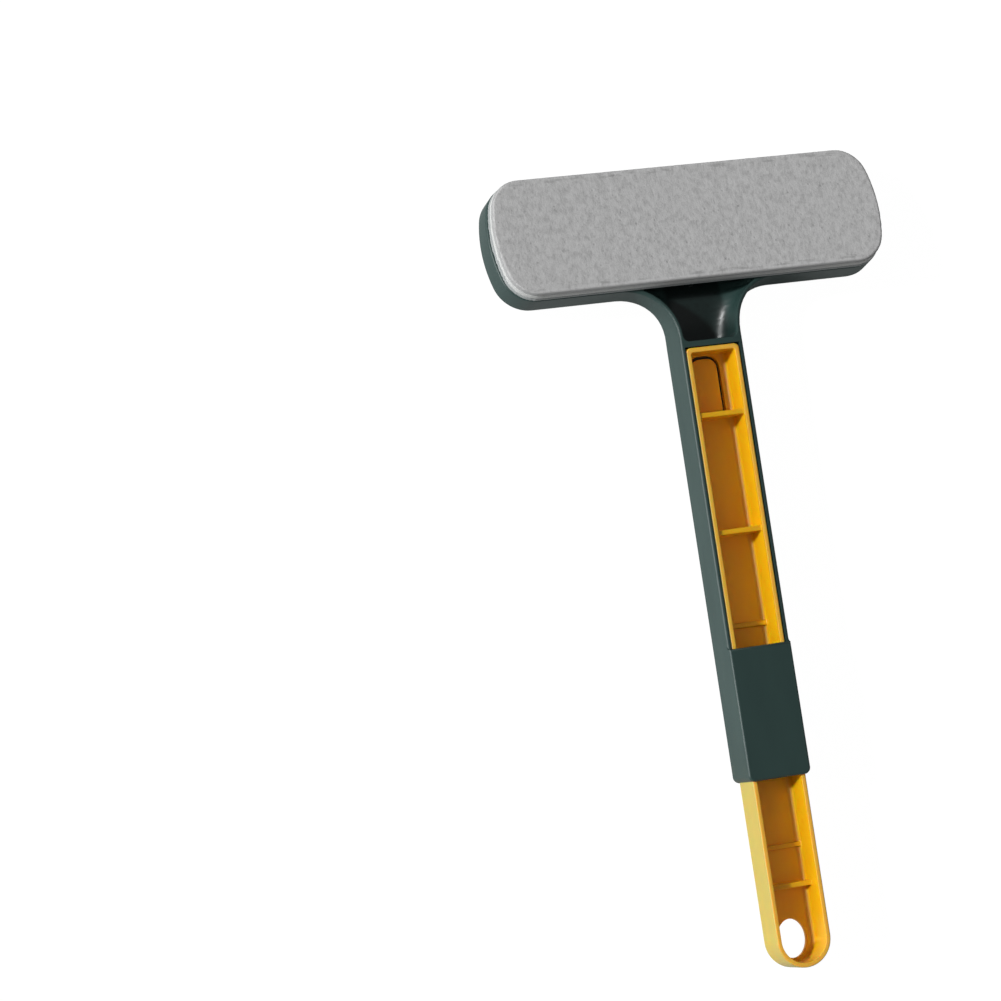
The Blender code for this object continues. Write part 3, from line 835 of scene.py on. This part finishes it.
@dataclass
class HookTapes:
    """The two hook tapes: a woven band with rows of bent hooks.

    A hook is drawn up in steps: how far each step leans, and its share of the hook's height.
    """

    nodes: tuple[str, ...] = ("hook_tape_left", "hook_tape_right")
    band: float = 0.35 * MM
    root: float = 0.6
    pitch: float = 1.35 * MM
    wire: float = 0.10 * MM
    sides: int = 4
    steps: tuple[tuple[float, float], ...] = ((0.0, 0.60), (0.16 * MM, 0.28), (0.24 * MM, 0.12))
    margin: float = 0.9 * MM
    finish: HookTape = HookTape("hook_tape_nylon", (0.012, 0.012, 0.013), (0.030, 0.030, 0.032))

    def hook(self, work: bmesh.types.BMesh, x: float, y: float, rise: float, lean: float) -> None:
        """Add one hook, a thin stalk that is drawn up and bent over.

        Args:
            work: Shape that takes the hook, in the frame of the head.
            x: Place along the head.
            y: Place across the head.
            rise: Height of its top above its foot.
            lean: Side that it bends to, 1 or -1.
        """
        made = bmesh.ops.create_circle(work, cap_ends=True, radius=self.wire, segments=self.sides,
                                       matrix=Matrix.Translation((x, y, 0)))
        face = made["verts"][0].link_faces[0]
        for side, share in self.steps:
            grown = bmesh.ops.extrude_face_region(work, geom=[face])["geom"]
            verts = [v for v in grown if isinstance(v, bmesh.types.BMVert)]
            face = next(f for f in grown if isinstance(f, bmesh.types.BMFace))
            bmesh.ops.translate(work, vec=(lean * side, 0, rise * share), verts=verts)

    def field(self, length: float, width: float, rise: float) -> bpy.types.Mesh:
        """Fill a rectangle from the origin with hooks, in two staggered sets.

        Args:
            length: Its size along the head.
            width: Its size across the head.
            rise: Height of the hooks.

        Returns:
            A mesh of all its hooks.
        """
        work = bmesh.new()
        self.hook(work, 0, 0, rise, 1)
        self.hook(work, self.pitch, self.pitch / 2, rise, -1)
        mesh = bpy.data.meshes.new("hooks")
        work.to_mesh(mesh)
        work.free()
        thing = bpy.data.objects.new("hooks", mesh)
        bpy.context.scene.collection.objects.link(thing)
        for axis, step, size in ((0, 2 * self.pitch, length), (1, self.pitch, width)):
            row = thing.modifiers.new("row", "ARRAY")
            row.use_relative_offset = False
            row.use_constant_offset = True
            row.constant_offset_displace = [step if i == axis else 0 for i in range(3)]
            row.count = int((size - self.pitch) / step) + 1
        applied(thing)
        mesh = thing.data
        bpy.data.objects.remove(thing)
        return mesh

    def tape(self, node: str) -> bmesh.types.BMesh:
        """Make one tape.

        Args:
            node: CAD node that it stands for, which the tape and its hooks fill.

        Returns:
            The band with its hooks.
        """
        work = merged(node)
        bmesh.ops.transform(work, matrix=HEAD.inverted(), verts=work.verts)
        low, high = (Vector(pick(vert.co[axis] for vert in work.verts) for axis in range(3))
                     for pick in (min, max))
        for vert in work.verts:
            if vert.co.z > (low.z + high.z) / 2:
                vert.co.z = low.z + self.band
        foot = low.z + self.band * self.root
        hooks = self.field(high.x - low.x - 2 * self.margin, high.y - low.y - 2 * self.margin,
                           high.z - foot)
        hooks.transform(Matrix.Translation((low.x + self.margin, low.y + self.margin, foot)))
        work.from_mesh(hooks)
        bpy.data.meshes.remove(hooks)
        bmesh.ops.transform(work, matrix=HEAD, verts=work.verts)
        return work

    def build(self) -> None:
        """Make both tapes."""
        material = self.finish.make()
        for node in self.nodes:
            new_piece(node + "_hooks", self.tape(node), Body.HANDLE, Slot.HOOKS, material, node)


@dataclass(frozen=True)
class SoftLayer:
    """How one layer of the pad is made from its CAD solid.

    Its surface is remeshed in cells of voxel, tufted by tuft and rounded off by crown at its rim.
    It is spread down and up to press on its neighbours, and grown outwards at its low and its
    high face.
    """

    node: str
    name: str
    slot: Slot
    voxel: float
    tuft: float
    crown: float
    spread_low: float
    spread_high: float
    grow_low: float
    grow_high: float


@dataclass
class PadStack:
    """The pad: loop backing, foam and pile cover, which press on each other and fill the rim."""

    half_length: float = 65 * MM
    half_width: float = PAD_HALF_WIDTH
    end_bulge: float = 3.6 * MM
    crown_width: float = 0.8 * MM
    clump: float = 1.1 * MM
    lock: float = 0.5 * MM
    clump_share: float = 0.6
    lock_share: float = 0.4
    lengthwise: float = 0.4
    cover: PileCloth = PileCloth(
        "grey_pile_cloth", (0.585, 0.585, 0.585), (0.345, 0.345, 0.345),
        # The last colour is the painted shade on the shoulder.
        (0.33, 0.335, 0.335), PAD_HALF_WIDTH)
    foam: Foam = Foam("white_foam_edge", (0.55, 0.56, 0.55), (0.44, 0.45, 0.45))
    backing: LoopCloth = LoopCloth("loop_backing_cloth", (0.42, 0.44, 0.44), (0.26, 0.28, 0.28))
    layers: tuple[SoftLayer, ...] = (
        SoftLayer("pad_cover", "pad_pile_cover", Slot.PILE, voxel=0.42 * MM,
                  tuft=0.06 * MM, crown=0.05 * MM, spread_low=0.18 * MM, spread_high=0.0,
                  grow_low=0.40 * MM, grow_high=0.35 * MM),
        SoftLayer("pad_foam", "pad_foam_core", Slot.FOAM, voxel=0.46 * MM,
                  tuft=0.04 * MM, crown=0.0, spread_low=0.16 * MM, spread_high=0.16 * MM,
                  grow_low=0.95 * MM, grow_high=0.70 * MM),
        SoftLayer("pad_loop_backing", "pad_loop_cloth", Slot.LOOPS, voxel=0.34 * MM,
                  tuft=0.03 * MM, crown=0.0, spread_low=0.24 * MM, spread_high=0.16 * MM,
                  grow_low=0.80 * MM, grow_high=0.70 * MM),
    )

    def rim_distance(self, x: float, y: float) -> float:
        """Distance from a point to the pad's outline, near enough for a crown."""
        bulge = self.end_bulge * (abs(y) / self.half_width) ** 2
        return min(self.half_width - abs(y), self.half_length - bulge - abs(x))

    def remeshed(self, plan: SoftLayer, material: bpy.types.Material) -> bpy.types.Object:
        """Make a layer of small even cells from its CAD solid, in the frame of the head.

        Args:
            plan: How the layer is made.
            material: Its finish.

        Returns:
            The layer.
        """
        work = merged(plan.node)
        bmesh.ops.transform(work, matrix=HEAD.inverted(), verts=work.verts)
        thing = new_piece(plan.name, work, Body.PAD, plan.slot, material, plan.node, crease=180)
        modifier = thing.modifiers.new("cells", "REMESH")
        modifier.mode = "VOXEL"
        modifier.voxel_size = plan.voxel
        applied(thing)
        return thing

    def soften(self, place: Vector, normal: Vector, share: float, plan: SoftLayer) -> None:
        """Move one point of a layer as soft stuff gives.

        Args:
            place: The point, which is changed.
            normal: Normal of the surface there.
            share: Its height in the layer, from 0 to 1.
            plan: How the layer is made.
        """
        clump = self.clump_share * noise.noise(place / self.clump) \
            + self.lock_share * noise.noise(place / self.lock)
        inward = max(self.rim_distance(place.x, place.y), 0)
        rim = min(inward, self.crown_width) / self.crown_width
        place.z += plan.spread_high * share - plan.spread_low * (1 - share)
        place.z -= plan.crown * (1 - rim) ** 2 * share
        place += normal * plan.tuft * clump
        grow = plan.grow_low + (plan.grow_high - plan.grow_low) * share
        place.x *= 1 + grow * self.lengthwise / self.half_length
        place.y *= 1 + grow / self.half_width

    def layer(self, plan: SoftLayer, material: bpy.types.Material) -> None:
        """Make one soft layer and put it in its place.

        Args:
            plan: How it is made.
            material: Its finish.
        """
        thing = self.remeshed(plan, material)
        mesh = thing.data
        places = [vert.co.copy() for vert in mesh.vertices]
        normals = [normal.vector.copy() for normal in mesh.vertex_normals]
        low, high = min(place.z for place in places), max(place.z for place in places)
        for place, normal in zip(places, normals):
            self.soften(place, normal, (place.z - low) / (high - low), plan)
        mesh.vertices.foreach_set("co", [value for place in places for value in place])
        mesh.transform(HEAD)
        mesh.materials.clear()
        mesh.materials.append(material)
        mesh.shade_smooth()

    def build(self) -> None:
        """Make the three layers."""
        finishes = (self.cover.make(HEAD), self.foam.make(), self.backing.make(HEAD))
        for plan, material in zip(self.layers, finishes):
            self.layer(plan, material)


@dataclass
class YellowBar:
    """The extension bar and the lock tongue in its floor."""

    edge: Rounding = Rounding(0.32 * MM)
    tongue_edge: Rounding = Rounding(0.14 * MM)
    finish: MouldedPlastic = YELLOW

    def build(self) -> None:
        """Make the bar and the tongue."""
        material = self.finish.make()
        for node, name, body, edge in (
                ("extension_bar", "yellow_bar", Body.EXTENSION, self.edge),
                ("lock_tongue", "yellow_lock_tongue", Body.TONGUE, self.tongue_edge)):
            work = edge.apply(merged(node))
            weigh_normals(new_piece(name, work, body, Slot.YELLOW, material, node))


@dataclass(frozen=True)
class Sun:
    """A soft parallel light."""

    name: str
    source: tuple[float, float, float]
    strength: float
    angle: float

    def add(self) -> None:
        """Add the light to the scene."""
        data = bpy.data.lights.new(self.name, "SUN")
        data.energy = self.strength
        data.angle = math.radians(self.angle)
        sun = bpy.data.objects.new(self.name, data)
        sun.rotation_euler = Vector(self.source).to_track_quat("Z", "Y").to_euler()
        bpy.context.scene.collection.objects.link(sun)


@dataclass
class Studio:
    """Camera, lights, pale floor and white surroundings."""

    place: tuple[float, float, float] = (-0.417734, -0.045860, 1.032794)
    target: tuple[float, float, float] = (-0.072482, 0.029463, 0.006325)
    roll: float = -8.5444
    lens: float = 126.152
    sensor: float = 36
    clip: tuple[float, float] = (0.01, 50)
    suns: tuple[Sun, ...] = (
        Sun("key_sun", source=(-0.84, 0.22, 0.52), strength=2.65, angle=5.0),
        Sun("low_fill", source=(-0.99, -0.05, 0.10), strength=1.35, angle=40.0),
    )
    sky: float = 0.20
    floor_size: float = 6.0
    floor_gap: float = 0.05 * MM
    floor_paint: float = 0.92
    floor_roughness: float = 0.9
    floor_glow: float = 1.06
    floor_glow_share: float = 0.93

    def camera(self) -> None:
        """Put the camera where the photograph was taken from."""
        place = Vector(self.place)
        back = (place - Vector(self.target)).normalized()
        right = Vector((0, 1, 0)).cross(back).normalized()
        up = back.cross(right)
        roll = Matrix.Rotation(math.radians(self.roll), 3, "Z")
        turn = Matrix((right, up, back)).transposed() @ roll
        data = bpy.data.cameras.new("photo_camera")
        data.lens = self.lens
        data.sensor_width = self.sensor
        data.clip_start, data.clip_end = self.clip
        camera = bpy.data.objects.new("photo_camera", data)
        camera.matrix_world = Matrix.Translation(place) @ turn.to_4x4()
        bpy.context.scene.collection.objects.link(camera)
        bpy.context.scene.camera = camera

    def world(self) -> None:
        """Add the even sky, which the camera sees as white."""
        world = bpy.data.worlds.new("white_room")
        world.use_nodes = True
        nodes, links = world.node_tree.nodes, world.node_tree.links
        path = nodes.new("ShaderNodeLightPath")
        strength = nodes.new("ShaderNodeMapRange")
        strength.inputs["To Min"].default_value = self.sky
        strength.inputs["To Max"].default_value = 1.0
        links.new(path.outputs["Is Camera Ray"], strength.inputs["Value"])
        nodes["Background"].inputs["Color"].default_value = (1, 1, 1, 1)
        links.new(strength.outputs[0], nodes["Background"].inputs["Strength"])
        bpy.context.scene.world = world

    def floor_finish(self) -> bpy.types.Material:
        """Mix pale paint with a glow that only the camera sees.

        Returns:
            The material.
        """
        graph, paint = Graph("pale_floor_paint"), self.floor_paint
        graph.set(Base_Color=(paint, paint, paint, 1), Roughness=self.floor_roughness)
        seen = graph.add("ShaderNodeLightPath", output="Is Camera Ray")
        glow = graph.add("ShaderNodeEmission", values={"Strength": self.floor_glow})
        mix = graph.add("ShaderNodeMixShader", values={
            0: seen * self.floor_glow_share, 1: Wire(graph, graph.shader.outputs[0]), 2: glow})
        graph.feed(graph.tree.nodes["Material Output"].inputs["Surface"], mix)
        return graph.material

    def floor(self) -> None:
        """Add the pale floor, white to the camera but for the object's faint shadow."""
        work = bmesh.new()
        bmesh.ops.create_grid(work, x_segments=1, y_segments=1, size=self.floor_size / 2)
        mesh = bpy.data.meshes.new("pale_floor")
        work.to_mesh(mesh)
        work.free()
        mesh.materials.append(self.floor_finish())
        thing = bpy.data.objects.new("pale_floor", mesh)
        thing.location.z = LOADED_BOX[0][2] - self.floor_gap
        bpy.context.scene.collection.objects.link(thing)

    def build(self) -> None:
        """Set up the whole studio."""
        self.camera()
        for sun in self.suns:
            sun.add()
        self.world()
        self.floor()
        bpy.context.scene.view_settings.view_transform = "Standard"
        log.info("studio: camera, %d lights, sky and floor", len(self.suns))


def main() -> None:
    """Build the brush and its studio."""
    logging.basicConfig(level=logging.INFO, format="%(message)s")
    Studio().build()
    for part in (GreenMoulding(), HookTapes(), PadStack(), YellowBar()):
        part.build()
    bpy.context.view_layer.update()


if __name__ == "__main__":
    main()
